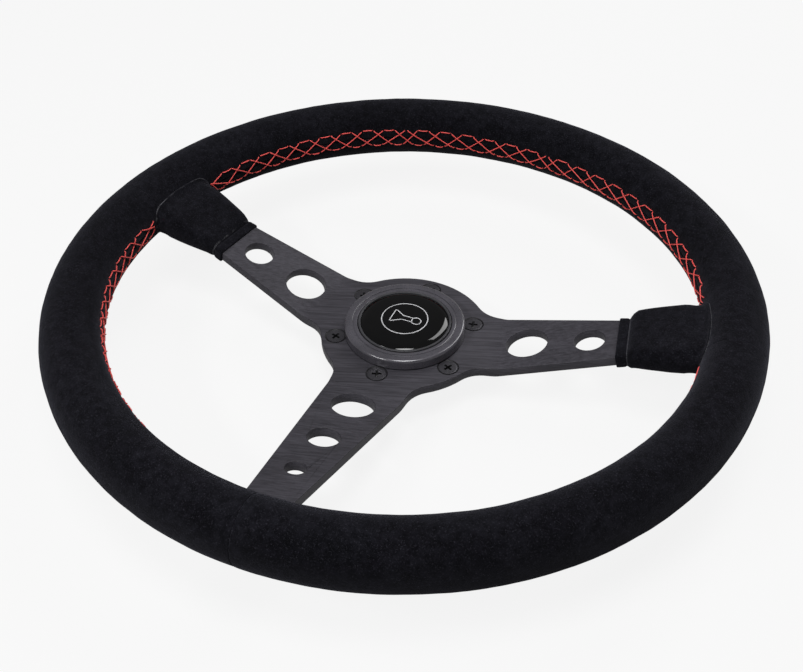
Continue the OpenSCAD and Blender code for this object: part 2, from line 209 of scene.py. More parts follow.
class Paint:
    """A procedural material, built on object coordinates in metres."""

    def __init__(self, name, color, roughness, **sockets):
        self.material = bpy.data.materials.new(name)
        self.material.use_nodes = True
        self.tree = self.material.node_tree
        self.shader = self.tree.nodes["Principled BSDF"]
        self.place = self.tree.nodes.new("ShaderNodeTexCoord").outputs["Object"]
        self.shader.inputs["Base Color"].default_value = (*color, 1)
        self.shader.inputs["Roughness"].default_value = roughness
        for key, value in sockets.items():
            self.shader.inputs[key.replace("_", " ").title().replace("Ior", "IOR")].default_value = value

    def node(self, kind, **settings):
        n = self.tree.nodes.new(kind)
        for key, value in settings.items():
            setattr(n, key, value)
        return n

    def link(self, source, target):
        self.tree.links.new(source, target)

    def noise(self, scale, stretch=(1, 1, 1), detail=4, roughness=0.6, distortion=0.0):
        """Noise of so many features a metre, stretched along the axes."""
        mapping = self.node("ShaderNodeMapping")
        mapping.inputs["Scale"].default_value = stretch
        self.link(self.place, mapping.inputs["Vector"])
        n = self.node("ShaderNodeTexNoise")
        n.inputs["Scale"].default_value = scale
        n.inputs["Detail"].default_value = detail
        n.inputs["Roughness"].default_value = roughness
        n.inputs["Distortion"].default_value = distortion
        self.link(mapping.outputs["Vector"], n.inputs["Vector"])
        return n.outputs["Fac"]

    def spread(self, value, low, high, to_low=0.0, to_high=1.0):
        """Value from low to high, clamped and mapped to to_low to to_high."""
        n = self.node("ShaderNodeMapRange", interpolation_type="SMOOTHSTEP")
        for key, v in (("From Min", low), ("From Max", high), ("To Min", to_low), ("To Max", to_high)):
            n.inputs[key].default_value = v
        self.link(value, n.inputs["Value"])
        return n.outputs["Result"]

    def math(self, kind, a, b):
        n = self.node("ShaderNodeMath", operation=kind)
        for socket, v in zip(n.inputs, (a, b)):
            if isinstance(v, (int, float)):
                socket.default_value = v
            else:
                self.link(v, socket)
        return n.outputs[0]

    def mix(self, share, a, b):
        """Colour a where share is 0 and b where it is 1."""
        n = self.node("ShaderNodeMix", data_type="RGBA")
        self.link(share, n.inputs["Factor"])
        for socket, v in ((n.inputs[6], a), (n.inputs[7], b)):
            if isinstance(v, tuple):
                socket.default_value = (*v, 1)
            else:
                self.link(v, socket)
        return n.outputs[2]

    def color(self, value):
        self.link(value, self.shader.inputs["Base Color"])

    def rough(self, value):
        self.link(value, self.shader.inputs["Roughness"])

    def bump(self, height, depth_mm, strength=1.0):
        """Relief of so many millimetres, added on top of any earlier relief."""
        n = self.node("ShaderNodeBump")
        n.inputs["Strength"].default_value = strength
        n.inputs["Distance"].default_value = depth_mm * MM
        self.link(height, n.inputs["Height"])
        normal = self.shader.inputs["Normal"]
        if normal.is_linked:
            self.link(normal.links[0].from_socket, n.inputs["Normal"])
        self.link(n.outputs["Normal"], normal)


def suede_paint(name, wear_and_highlight=0.0):
    """Black suede, optionally lighter in patches: partly wear of the nap, partly a painted highlight."""
    p = Paint(name, (0.006, 0.006, 0.009), 0.95, sheen_weight=0.09, sheen_roughness=0.45,
              sheen_tint=(0.82, 0.82, 1.0, 1), specular_ior_level=0.08)
    patches = p.spread(p.noise(24, detail=5, distortion=1.0), 0.36, 0.66)
    mottle = p.spread(p.noise(260, detail=5, roughness=0.7), 0.35, 0.68)
    fibres = p.noise(1300, detail=5, roughness=0.8)
    dark = p.mix(mottle, (0.0017, 0.0017, 0.0026), (0.0054, 0.0052, 0.0079))
    light = p.mix(mottle, (0.0029, 0.0029, 0.0044), (0.0092, 0.0091, 0.0127))
    tone = p.mix(patches, dark, light)
    tone = p.mix(p.spread(fibres, 0.52, 0.76), tone, (0.042, 0.041, 0.053))
    # Lighter patches here are partly wear of the nap, partly a painted highlight
    if wear_and_highlight:
        worn_and_highlit = p.mix(p.spread(fibres, 0.40, 0.62), (0.010, 0.010, 0.013), (wear_and_highlight, wear_and_highlight, wear_and_highlight * 1.1))
        tone = p.mix(p.spread(p.noise(95, detail=3), 0.38, 0.58), tone, worn_and_highlit)
    p.color(tone)
    p.bump(mottle, 0.10, 0.6)
    p.bump(fibres, 0.24, 0.8)
    return p.material


def plate_paint(name, base, part="side"):
    """Brushed anodised aluminium for the plate's front, its sides, or its broken edges; the broken edges
    carry painted shade in the countersinks.
    """
    p = Paint(name, (base,) * 3, 0.48, metallic=0.12, specular_ior_level=0.3)
    turned = p.node("ShaderNodeMapping")
    turned.inputs["Rotation"].default_value = (0, 0, rad(-19))
    p.link(p.place, turned.inputs["Vector"])
    p.place = turned.outputs["Vector"]
    grain = p.noise(1300, stretch=(0.035, 1, 1), detail=4, roughness=0.75)
    broad = p.noise(60, stretch=(0.4, 1, 1), detail=3)
    share = p.math("ADD", p.math("MULTIPLY", p.spread(grain, 0.32, 0.68), 0.75),
                   p.math("MULTIPLY", p.spread(broad, 0.35, 0.65), 0.25))
    tint = (1.0, 0.95, 1.14)
    tone = p.mix(share, tuple(base * 0.55 * t for t in tint), tuple(base * 1.40 * t for t in tint))
    if part == "edge":
        # Painted shade: the broken edges in the countersinks, which lie inside this radius, are darkened
        flat = p.node("ShaderNodeVectorMath", operation="MULTIPLY")
        flat.inputs[1].default_value = (1, 1, 0)
        p.link(p.place, flat.inputs[0])
        far = p.node("ShaderNodeVectorMath", operation="LENGTH")
        p.link(flat.outputs["Vector"], far.inputs[0])
        outside = p.spread(far.outputs["Value"], 0.0408, 0.0415)
        tone = p.mix(outside, tuple(base * 0.2 * t for t in tint), tone)
    p.color(tone)
    p.rough(p.spread(grain, 0.3, 0.7, 0.42, 0.54))
    if part == "front":
        p.link(fold_normal(p), p.shader.inputs["Normal"])
    p.bump(grain, 0.02, 0.8)
    return p.material


def fold_normal(p):
    """Normal of the plate's front, which turns gradually from the flat centre to each sloping spoke."""
    place = p.node("ShaderNodeTexCoord").outputs["Object"]
    total = None
    for at in (RIGHT_AT, LEFT_AT, BOTTOM_AT):
        way = (math.cos(rad(at)), math.sin(rad(at)), 0)
        reach = p.node("ShaderNodeVectorMath", operation="DOT_PRODUCT")
        reach.inputs[1].default_value = way
        p.link(place, reach.inputs[0])
        turn = p.node("ShaderNodeVectorMath", operation="SCALE")
        turn.inputs[0].default_value = tuple(-math.tan(SLOPE) * w for w in way)
        p.link(p.spread(reach.outputs["Value"], 0.040, 0.062), turn.inputs["Scale"])
        add = p.node("ShaderNodeVectorMath", operation="ADD")
        p.link(turn.outputs["Vector"], add.inputs[0])
        if total is None:
            add.inputs[1].default_value = (0, 0, 1)
        else:
            p.link(total, add.inputs[1])
        total = add.outputs["Vector"]
    unit = p.node("ShaderNodeVectorMath", operation="NORMALIZE")
    p.link(total, unit.inputs[0])
    return unit.outputs["Vector"]


def satin_paint(name, base, roughness, metallic, grain_mm=0.02, scale=1200, **more):
    """Moulded, turned or painted surface with a fine grain and slight tone changes."""
    p = Paint(name, base, roughness, metallic=metallic, **more)
    fine = p.noise(scale, detail=4)
    broad = p.noise(70, detail=3)
    low, high = tuple(c * 0.85 for c in base), tuple(min(c * 1.18, 1) for c in base)
    p.color(p.mix(p.spread(broad, 0.3, 0.7), low, high))
    p.rough(p.spread(fine, 0.3, 0.7, roughness * 0.85, min(roughness * 1.15, 1)))
    p.bump(fine, grain_mm, 0.6)
    return p.material


def foam_paint(name, base):
    p = Paint(name, base, 0.9, specular_ior_level=0.2)
    cells = p.node("ShaderNodeTexVoronoi")
    cells.inputs["Scale"].default_value = 1400
    p.link(p.place, cells.inputs["Vector"])
    depth = cells.outputs["Distance"]
    p.color(p.mix(p.spread(depth, 0.1, 0.6), tuple(c * 1.3 for c in base), tuple(c * 0.6 for c in base)))
    p.bump(depth, 0.15, 0.7)
    return p.material


def thread_paint(name):
    p = Paint(name, (0.85, 0.05, 0.05), 0.55, sheen_weight=0.25, sheen_roughness=0.4,
              sheen_tint=(1, 0.6, 0.55, 1))
    fibres = p.noise(5200, detail=3)
    broad = p.noise(160, detail=2)
    tone = p.mix(p.spread(broad, 0.35, 0.65), (0.90, 0.045, 0.045), (0.97, 0.075, 0.068))
    p.color(p.mix(p.spread(fibres, 0.3, 0.75), tone, (1.0, 0.17, 0.15)))
    p.bump(fibres, 0.06, 0.5)
    return p.material


suede = suede_paint("suede_black")
# Lighter suede for the sleeves' edges: wear of the nap plus a painted highlight
suede_worn_highlit = suede_paint("suede_worn_highlit", wear_and_highlight=0.11)
thread = thread_paint("thread_red")
# Painted light: the plate's walls and back take a lighter base than its front, standing in for light on the
# walls
plate = plate_paint("anodised_side_painted_light", 0.062)
plate_front = plate_paint("anodised_front", 0.057, "front")
plate_edge = plate_paint("anodised_edge", 0.052, "edge")
foam = foam_paint("foam_dark", (0.035, 0.035, 0.038))
bezel_black = satin_paint("bezel_satin", (0.084, 0.080, 0.095), 0.30, 0.2, grain_mm=0.006, scale=1600,
                          coat_weight=1.0, coat_roughness=0.10)
cap_black = satin_paint("cap_satin", (0.060, 0.060, 0.066), 0.32, 0.2)
cup_black = satin_paint("cup_moulded", (0.022, 0.022, 0.024), 0.5, 0.0, grain_mm=0.03)
rubber = satin_paint("gasket_rubber", (0.012, 0.012, 0.013), 0.8, 0.0, grain_mm=0.04)
screw_black = satin_paint("screw_black_oxide", (0.058, 0.056, 0.064), 0.34, 0.45, scale=2500)
# Painted shade: the cross recesses take a much darker colour than the screw heads
recess_painted_shade = satin_paint("screw_recess_painted_shade", (0.012, 0.012, 0.013), 0.3, 0.3, scale=2500)
steel = satin_paint("spring_steel", (0.50, 0.51, 0.53), 0.28, 1.0, grain_mm=0.01)
aluminium = satin_paint("hoop_aluminium", (0.62, 0.63, 0.65), 0.4, 1.0)
brass = satin_paint("contact_brass", (0.68, 0.48, 0.20), 0.3, 1.0, grain_mm=0.01)
emblem_black = satin_paint("emblem_gloss", (0.0025, 0.0025, 0.0027), 0.06, 0.0, grain_mm=0.001)
print_grey = satin_paint("printed_symbol", (0.62, 0.62, 0.64), 0.35, 0.0, grain_mm=0.002)


# ---------------------------------------------------------------- grip surface

def section(s):
    """Direction and rise of the grip's cross-section at arc length s up from its inner equator."""
    s = np.mod(s, GIRTH)
    half = math.pi * GRIP_A
    turn = (np.clip((s - STRETCH) / GRIP_A, 0, math.pi)
            + np.clip((s - 3 * STRETCH - half) / GRIP_A, 0, math.pi))
    rise = (np.clip(s, 0, STRETCH) - np.clip(s - STRETCH - half, 0, 2 * STRETCH)
            + np.clip(s - 3 * STRETCH - 2 * half, 0, STRETCH))
    return -np.cos(turn), np.sin(turn), rise


def grip(az, s, lift=0.0):
    """Point on the grip at azimuth az in degrees and arc length s, lifted off the suede."""
    out, up, rise = section(s)
    radius = RIM_R + (GRIP_A + lift) * out
    a = np.radians(az)
    return np.stack([radius * np.cos(a), radius * np.sin(a), RIM_Z + (GRIP_A + lift) * up + rise], -1)


def grip_normal(az, s):
    out, up, _ = section(s)
    a = np.radians(az)
    return np.stack([out * np.cos(a), out * np.sin(a), up + 0 * a], -1)


def arc_at(z):
    """Arc length up the inside of the grip to height z above its centre."""
    beyond = np.maximum(np.abs(z) - STRETCH, 0)
    return np.sign(z) * (np.minimum(np.abs(z), STRETCH) + GRIP_A * np.arcsin(beyond / GRIP_A))


def band_middle(az):
    """Height of the stitching's middle, which wanders a little along the wheel."""
    az = np.asarray(az, float)
    low = 0.4 * np.clip((az - 150) / 30, 0, 1) + 4.2 * np.clip((az - 290) / 50, 0, 1)
    return -0.55 - 1.15 * np.cos(np.radians(4.29 * (az - 80))) - low


# ---------------------------------------------------------------- stitching

BAND_HALF = 4.85
DASH_UP = 2.5
DASH_LOW = 2.1
THREAD_R = 0.31


def spaced(first, last, count):
    return np.linspace(first, last, count).tolist()


def mirrored(strip):
    """The same strip on the other side of the bottom spoke."""
    turned = {k: [540 - a for a in reversed(strip[k])] for k in ("upper", "lower")}
    return dict(start=540 - strip["end"], end=540 - strip["start"], apex=(), **turned)


STRIPS = {
    "stitching_top": dict(
        start=19.7, end=160.9, lower=spaced(23.3, 157.7, 29), apex=(11, 18),
        upper=spaced(24.8, 75.1, 11) + [79.0] + spaced(82.9, 108.7, 6) + [112.6] + spaced(116.5, 156.0, 9)),
    "stitching_left": dict(
        start=178.7, end=265.0, lower=spaced(182.3, 259.1, 17), upper=spaced(184.5, 256.5, 16), apex=()),
}
STRIPS["stitching_right"] = mirrored(STRIPS["stitching_left"])
STRIPS["stitching_right"].update(last_knot=1.3, slack=0.55)


def stitches(strip):
    """(azimuth, height share) ends of every stitch, and whether it lies over the others."""
    upper, lower, knots = strip["upper"], strip["lower"], (strip["start"], strip["end"])
    runs = []
    for a in lower:
        runs.append(((a - DASH_LOW / 2, -1), (a + DASH_LOW / 2, -1), False))
    for i, a in enumerate(upper):
        half = 0.12 if i in strip["apex"] else DASH_UP / 2
        if i not in strip["apex"]:
            runs.append(((a - half, 1), (a + half, 1), False))
        ahead = (lower[i + 2] - DASH_LOW / 2, -1) if i + 2 < len(lower) else (knots[1], 0.1)
        behind = (lower[i - 1] + DASH_LOW / 2, -1) if i >= 1 else (knots[0], 0.1)
        runs.append(((a + half, 1), ahead, False))
        runs.append(((a - half, 1), behind, True))
    for j in (0, 1):
        runs.append(((knots[0], 0.9 * j), (lower[j] - DASH_LOW / 2, -1), False))
    for j in range(len(upper) - 1, len(lower)):
        runs.append(((knots[1], strip.get("last_knot", 0.5)), (lower[j] + DASH_LOW / 2, -1), True))
    return runs


def thread_run(start, end, over, jitter, loose=1.0):
    """Centre line and normals of one stitch, which sinks into the suede at both ends."""
    length = math.hypot(rad(end[0] - start[0]) * (RIM_R - GRIP_A), (end[1] - start[1]) * BAND_HALF)
    count = max(6, round(length / 0.45))
    t = np.linspace(0, 1, count + 1)
    az = start[0] + (end[0] - start[0]) * t
    share = start[1] + (end[1] - start[1]) * t
    slack = np.sin(math.pi * t)
    az = az + jitter[0] * slack
    share = share + jitter[1] * slack
    s = arc_at(band_middle(az) + share * BAND_HALF)
    from_end = np.minimum(t, 1 - t) * length
    sink = 1 - np.clip(from_end / 1.3, 0, 1) ** 0.9
    lift = (0.24 + (0.48 * np.clip(slack * 1.6, 0, 1) if over else 0.03 * slack)) * loose - 1.25 * sink
    return grip(az, s, lift), grip_normal(az, s)


def stitching(name, strip, order):
    draw = random.Random(order)
    paths = [thread_run(a, b, over, (draw.uniform(-0.12, 0.12), draw.uniform(-0.05, 0.05)),
                        strip.get("slack", 1.0)) for a, b, over in stitches(strip)]
    points, faces = sweep(paths, THREAD_R, sides=9, lobes=3, lobe_depth=0.09, twist=2.1)
    return make(name + "_thread", points, faces, thread, "wheel")


for order, (name, strip) in enumerate(STRIPS.items()):
    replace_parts(stitching(name, strip, order), name)


# ---------------------------------------------------------------- suede covers

def holes():
    """Azimuth and arc length of every needle hole."""
    found = []
    for strip in STRIPS.values():
        for key, half, share in (("upper", DASH_UP / 2, 1), ("lower", DASH_LOW / 2, -1)):
            for a in strip[key]:
                for side in (-1, 1):
                    z = band_middle(a + side * half) + share * BAND_HALF
                    found.append((a + side * half, float(arc_at(z))))
    return np.array(found)


HOLES = holes()


def roll(distance, width, depth):
    """How far the suede's surface drops near a turned edge."""
    t = 1 - np.clip(distance / width, 0, 1)
    return depth * (1 - np.sqrt(1 - t * t))


def cover(name, first, last):
    """Strip of suede round the grip from azimuth first to last, with its turned edges on the stitching."""
    fine = [0.0, 0.05, 0.12, 0.22, 0.35]
    span = last - first
    count = round((span - 1.0) / 0.42)
    inside = np.linspace(0.5, span - 0.5, count + 1)
    az = first + np.r_[fine, inside, [span - x for x in reversed(fine)]]
    az = az.clip(first + 0.02, last - 0.02)
    near = [0.03, 0.1, 0.22, 0.4, 0.65, 0.95, 1.4, 2.0, 2.7, 3.4, 4.1, 4.6, 5.0, 5.5, 6.2, 7.0, 8.0, 9.5]
    far = np.linspace(11, GIRTH - 11, 25)
    across = np.r_[near, far, [GIRTH - x for x in reversed(near)]]
    rows = len(across)
    grid_az, grid_e = np.meshgrid(az, across, indexing="ij")
    s = arc_at(band_middle(grid_az)) + grid_e
    radius = RIM_R + GRIP_A * section(s)[0]
    to_slit = np.minimum(grid_e, GIRTH - grid_e)
    to_end = np.radians(np.minimum(grid_az - first, last - grid_az)) * radius
    # Only the seam at the bottom spoke shows as a groove
    seam = 1.0 - 0.75 * np.clip((np.abs(grid_az - BOTTOM_AT) - 20) / 20, 0, 1)
    drop = np.maximum(roll(to_slit, 0.95, 1.0), seam * roll(to_end, 0.5, 0.45))
    signed = np.where(grid_e > GIRTH / 2, grid_e - GIRTH, grid_e) + arc_at(band_middle(grid_az))
    band = np.abs(signed) < 14
    flat_az, flat_s = grid_az[band], signed[band]
    dent = np.zeros(flat_az.shape)
    inner = RIM_R - GRIP_A
    for a, h in HOLES:
        pick = np.abs(flat_az - a) < 3
        if pick.any():
            d2 = (np.radians(flat_az[pick] - a) * inner) ** 2 + (flat_s[pick] - h) ** 2
            dent[pick] += 0.22 * np.exp(-d2 / 0.8) + 0.11 * np.exp(-d2 / 9.0)
    drop[band] += dent
    # The suede pulls in a little at the cross seams and swells just beyond them
    drop += 0.10 * seam * np.exp(-((to_end - 0.3) / 1.6) ** 2)
    rest = grip(grid_az, s, 0.0)
    wave = np.array([0.16 * noise.noise(Vector(p) / 17) + 0.10 * noise.noise(Vector(p) / 6)
                     for p in rest.reshape(-1, 3)]).reshape(drop.shape)
    outer = grip(grid_az, s, wave - drop)
    skip = 3
    picks = list(range(0, rows, skip))
    if picks[-1] != rows - 1:
        picks.append(rows - 1)
    inside_s = s[:, picks]
    lining = grip(grid_az[:, picks], inside_s, -SUEDE)
    columns, inner_rows = len(az), len(picks)
    points = np.concatenate([outer.reshape(-1, 3), lining.reshape(-1, 3)])
    base = columns * rows
    faces = rings_to_faces(columns, rows, closed_ring=False)
    faces += rings_to_faces(columns, inner_rows, closed_ring=False, base=base)
    for i in range(columns - 1):
        for o, n in ((0, 0), (rows - 1, inner_rows - 1)):
            faces.append((i * rows + o, (i + 1) * rows + o, base + (i + 1) * inner_rows + n,
                          base + i * inner_rows + n))
    for i in (0, columns - 1):
        for m in range(inner_rows - 1):
            run = [i * rows + k for k in range(picks[m], picks[m + 1] + 1)]
            faces.append(run + [base + i * inner_rows + m + 1, base + i * inner_rows + m])
    obj = make(name + "_suede", points, faces, suede, "wheel")
    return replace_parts(obj, name)


cover("cover_top", RIGHT_SEAM, LEFT_SEAM)
cover("cover_left", LEFT_SEAM, BOTTOM_AT)
cover("cover_right", BOTTOM_AT, RIGHT_SEAM + 360)


# ---------------------------------------------------------------- sleeves

HEM_START = 105.5
CORNER_STEPS = 7
SIDE_STEPS = 14


def spoke_half(r):
    return SPOKE_ROOT - SPOKE_TAPER * r


def rounded_loop(half, low, high, corner, crown=0.0):
    """Rounded rectangle in a spoke's cross plane, as (y, z), puffed by crown on its two wide sides."""
    corner = min(corner, (high - low) / 2 - 0.01, half - 0.01)
    turn = np.linspace(0, math.pi / 2, CORNER_STEPS + 1)
    parts = []
    for quarter, (cy, cz) in enumerate(((half - corner, high - corner), (corner - half, high - corner),
                                        (corner - half, low + corner), (half - corner, low + corner))):
        a = turn + quarter * math.pi / 2
        parts.append(np.stack([cy + corner * np.cos(a), cz + corner * np.sin(a)], -1))
        if quarter in (0, 2):
            y = np.linspace(cy, -cy, SIDE_STEPS + 2)[1:-1]
            z = np.full(SIDE_STEPS, high if quarter == 0 else low)
            parts.append(np.stack([y, z], -1))
        else:
            parts.append(np.array([[cy - corner if quarter == 1 else cy + corner, (low + high) / 2]]))
    loop = np.concatenate(parts)
    middle = (low + high) / 2
    puff = crown * np.clip(1 - (loop[:, 0] / half) ** 2, 0, 1) * np.sign(loop[:, 1] - middle)
    loop[:, 1] += puff
    return loop


def on_spoke(points, angle):
    """Points of the spoke's frame, with x along the slope, in the wheel's frame."""
    x, y, z = np.moveaxis(np.asarray(points, float), -1, 0)
    r = SLOPE_START + x * math.cos(SLOPE) - z * math.sin(SLOPE)
    h = SLOPE_START_Z + x * math.sin(SLOPE) + z * math.cos(SLOPE)
    a = rad(angle)
    return np.stack([r * math.cos(a) - y * math.sin(a), r * math.sin(a) + y * math.cos(a), h], -1)


def along(r):
    """Distance along the slope to distance r from the axis."""
    return (r - SLOPE_START) / math.cos(SLOPE)


def off_grip(points, lift):
    """Distance of points outside the grip's surface lifted by lift."""
    r = np.hypot(points[..., 0], points[..., 1]) - RIM_R
    z = np.maximum(np.abs(points[..., 2] - RIM_Z) - STRETCH, 0)
    return np.hypot(r, z) - GRIP_A - lift


def grip_out(points):
    """Outward normals of the grip at points."""
    r = np.hypot(points[:, 0], points[:, 1])
    dz = points[:, 2] - RIM_Z
    dz = np.sign(dz) * np.maximum(np.abs(dz) - STRETCH, 0)
    n = np.stack([points[:, 0] / r * (r - RIM_R), points[:, 1] / r * (r - RIM_R), dz], -1)
    return n / np.linalg.norm(n, axis=1)[:, None]


def meet_grip(loop, angle, lift):
    """Distance along the spoke where each point of a loop meets the grip."""
    near, far = np.full(len(loop), along(118.0)), np.full(len(loop), along(158.0))
    for _ in range(40):
        mid = (near + far) / 2
        outside = off_grip(on_spoke(np.stack([mid, loop[:, 0], loop[:, 1]], -1), angle), lift) > 0
        near, far = np.where(outside, mid, near), np.where(outside, far, mid)
    return near


# Half widths of the two sleeves at distances from the axis
SLEEVE_AT = [110.6, 111.2, 112.4, 114.5, 118, 124, 132, 142, 150]
FULL = [15.4, 16.3, 17.6, 18.6, 19.3, 20.0, 20.7, 21.0, 21.3]
SLENDER = [14.7, 15.1, 15.6, 16.2, 17.1, 18.4, 19.9, 21.0, 21.3]
# A sleeve whose padding is lifted less than this is the slender one
SLENDER_LIFT = 1.2


def body_loop(r, inset, lift):
    """Section of the padded sleeve at distance r from the axis, drawn in by inset."""
    share = np.clip((r - 115) / 30, 0, 1)
    half = np.interp(r, SLEEVE_AT, SLENDER if lift < SLENDER_LIFT else FULL)
    thick = np.interp(r, [110.6, 111.2, 112.4, 114.5, 118, 132, 142, 150],
                      [3.7, 4.3, 4.9, 5.3, 5.6, 6.7, 7.6, 8.2])
    centre = -PLATE / 2 + lift * (1 - share) + lift / 3 * share
    rise = np.interp(r, [110.6, 114.5], [0, 1])
    centre = -PLATE / 2 + (centre + PLATE / 2) * rise
    trim = 0.0 if lift < SLENDER_LIFT else np.interp(r, [110.6, 113, 118, 132], [0.15, 0.45, 0.4, 0])
    loop = rounded_loop(half - trim - inset, centre - thick + inset, centre + thick - inset,
                        (thick - inset) * 0.85, 0.5)
    loop[:, 0] += trim
    return loop


def hem_loop(r, outset):
    half = spoke_half(r)
    return rounded_loop(half + outset, -PLATE - outset, outset, 0.35 + outset, 0.12 if outset > 0.5 else 0)


def ring(loop, r, angle):
    x = np.full(len(loop), along(r))
    return on_spoke(np.stack([x, loop[:, 0], loop[:, 1]], -1), angle)


def rings_to_grip(angle, inset, lift, skirt):
    """Rings that carry a sleeve's section up to the grip and lay its edge on the suede."""
    last = 136.0
    loop = body_loop(last, inset, lift)
    final = body_loop(146.0, inset, lift)
    end_x = meet_grip(final, angle, skirt)
    start_x = np.full(len(loop), along(last))
    end = on_spoke(np.stack([end_x, final[:, 0], final[:, 1]], -1), angle)
    start = on_spoke(np.stack([start_x, loop[:, 0], loop[:, 1]], -1), angle)
    ahead = on_spoke(np.stack([start_x + 1, loop[:, 0], loop[:, 1]], -1), angle) - start
    normal = grip_out(end)
    centre = on_spoke(np.array([[along(146.0), 0, -PLATE / 2]]), angle)
    away = end - centre
    away -= (away * normal).sum(1)[:, None] * normal
    away /= np.linalg.norm(away, axis=1)[:, None]
    flat = np.clip((np.abs(final[:, 1] + PLATE / 2) / (final[:, 1].max() + PLATE / 2) - 0.35) / 0.6, 0, 1)
    flat = (flat * flat * (3 - 2 * flat))[:, None]
    arrive = (1 - flat) * ahead + flat * away
    arrive /= np.linalg.norm(arrive, axis=1)[:, None]
    gap = np.linalg.norm(end - start, axis=1)[:, None]
    rings = []
    for t in (0.2, 0.4, 0.58, 0.72, 0.82, 0.9, 0.96, 1.0):
        p1, p2 = start + ahead * gap * 0.45, end - arrive * np.minimum(gap * 0.45, 3.6)
        rings.append((1 - t) ** 3 * start + 3 * t * (1 - t) ** 2 * p1
                     + 3 * t * t * (1 - t) * p2 + t ** 3 * end)
    return rings, end, away, normal


def sleeve(name, angle, lift):
    """Suede sleeve from its sewn hem, over the padding, to its skirt on the grip, and back inside."""
    rings = [ring(hem_loop(HEM_START, 0.06), HEM_START + 0.25, angle),
             ring(hem_loop(HEM_START, 0.45), HEM_START, angle),
             ring(hem_loop(HEM_START, 0.85), HEM_START + 0.08, angle),
             ring(hem_loop(HEM_START + 0.5, 1.08), HEM_START + 0.45, angle)]
    rings += [ring(hem_loop(r, 1.15), r, angle) for r in (106.6, 108.0, 109.2)]
    rings += [ring(hem_loop(109.7, 1.05), 109.75, angle), ring(hem_loop(110.1, 0.8), 110.1, angle),
              ring(hem_loop(110.4, 0.85), 110.35, angle)]
    rings += [ring(body_loop(r, 0, lift), r, angle)
              for r in (110.6, 110.85, 111.2, 111.7, 112.4, 113.3, 114.5, 116, 118, 121, 125, 130, 136)]
    reach, end, away, normal = rings_to_grip(angle, 0, lift, 0.85)
    rings += reach
    rings += [end + away * 0.35 - normal * 0.12, end + away * 0.55 - normal * 0.45,
              end + away * 0.5 - normal * 1.4]
    count = len(rings)
    rings += reversed(rings_to_grip(angle, SUEDE, lift, -0.4)[0])
    rings += [ring(body_loop(r, SUEDE, lift), r, angle) for r in (136, 125, 118, 114.5)]
    rings += [ring(hem_loop(r, 0.06), r, angle) for r in (112.4, 110.2, 108)]
    rings = np.array(rings)
    spot = rings.reshape(-1, 3)
    outward = np.array([noise.noise(Vector(p) / 9) for p in spot])
    push = np.zeros(len(spot))
    sides = rings.shape[1]
    push[: count * sides] = 0.16
    lateral = spot - spot.reshape(rings.shape).mean(1).repeat(sides, axis=0)
    lateral /= np.linalg.norm(lateral, axis=1)[:, None]
    spot = spot + lateral * (outward * push)[:, None]
    faces = rings_to_faces(len(rings), sides, closed_run=True)
    obj = make(name + "_suede", spot, faces, suede, "wheel")
    # The suede is lighter on the hem's ridge and on the skirt's edge: partly wear of the nap, partly a
    # painted highlight where these edges catch the light
    obj.data.materials.append(suede_worn_highlit)
    worn_and_highlit = (10, 11, count - 2, count - 1, count)
    if name == "sleeve_left":
        worn_and_highlit += (count - 4, count - 3)
    for k in worn_and_highlit:
        for face in obj.data.polygons[k * sides:(k + 1) * sides]:
            face.material_index = 1
    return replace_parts(obj, name)


def pad(name, angle, lift):
    """Foam wedge that fills a sleeve, with a hollow for the spoke."""
    inset = SUEDE + 0.1
    rings = [ring(body_loop(r, inset, lift), r, angle) for r in (114.6, 115.2, 116.5, 119, 125, 130, 136)]
    rings[0] = ring(body_loop(114.6, inset + 0.9, lift), 114.2, angle)
    rings += rings_to_grip(angle, inset, lift, 0.1)[0]
    core = [ring(hem_loop(r, 0.12), r, angle) for r in (144, 136, 125, 116)]
    rings = np.array(rings + core)
    faces = rings_to_faces(len(rings), rings.shape[1], closed_run=True)
    obj = make(name + "_foam", rings.reshape(-1, 3), faces, foam, "wheel")
    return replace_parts(obj, name)


sleeve("sleeve_left", LEFT_AT, 0.9)
sleeve("sleeve_right", RIGHT_AT, 1.5)
pad("pad_left", LEFT_AT, 0.9)
pad("pad_right", RIGHT_AT, 1.5)


# ---------------------------------------------------------------- hub screws

# Turn of each screw in degrees, and where the walls of its recess lie in millimetres
SCREW_TURNS = (12, 50, 31, 74, 22, 63)
RECESS_R = 2.4
RECESS_LOW = 2.4
RECESS_HIGH = 4.93


def one_screw():
    """Countersunk screw on the axis: helical thread behind the plate and a plain head, into which hub_screws
    cuts the cross recess.
    """
    pitch, sides = 0.8, 36
    rows = [-4.85 + 0.1 * k for k in range(49)]
    turn = np.arange(sides) * 2 * math.pi / sides
    points, faces = [(0, 0, -5.0)], []
    levels = [np.full(sides, 1.75)]
    heights = [-4.98]
    for z in rows:
        phase = np.mod(z / pitch - turn / (2 * math.pi), 1)
        tooth = 1 - np.abs(2 * phase - 1)
        fade = min(1, (z + 4.9) / 0.5)
        levels.append(2.08 + (0.40 * np.clip(tooth * 1.35 - 0.15, 0, 1)) * max(fade, 0.1))
        heights.append(z)
    for r, z in ((2.1, 0.05), (2.1, 2.05), (2.18, 2.2), (4.45, 4.48), (4.62, 4.68), (4.66, 4.82), (4.6, 4.92),
                 (4.45, 4.965), (3.6, 4.97), (2.8, 4.97)):
        levels.append(np.full(sides, r))
        heights.append(z)
    for level, z in zip(levels, heights):
        points += np.stack([level * np.cos(turn), level * np.sin(turn), z + 0 * turn], -1).tolist()
    faces += rings_to_faces(len(levels), sides, base=1)
    faces += [(0, 1 + (k + 1) % sides, 1 + k) for k in range(sides)]
    faces.append(tuple(1 + (len(levels) - 1) * sides + k for k in range(sides)))
    return points, faces


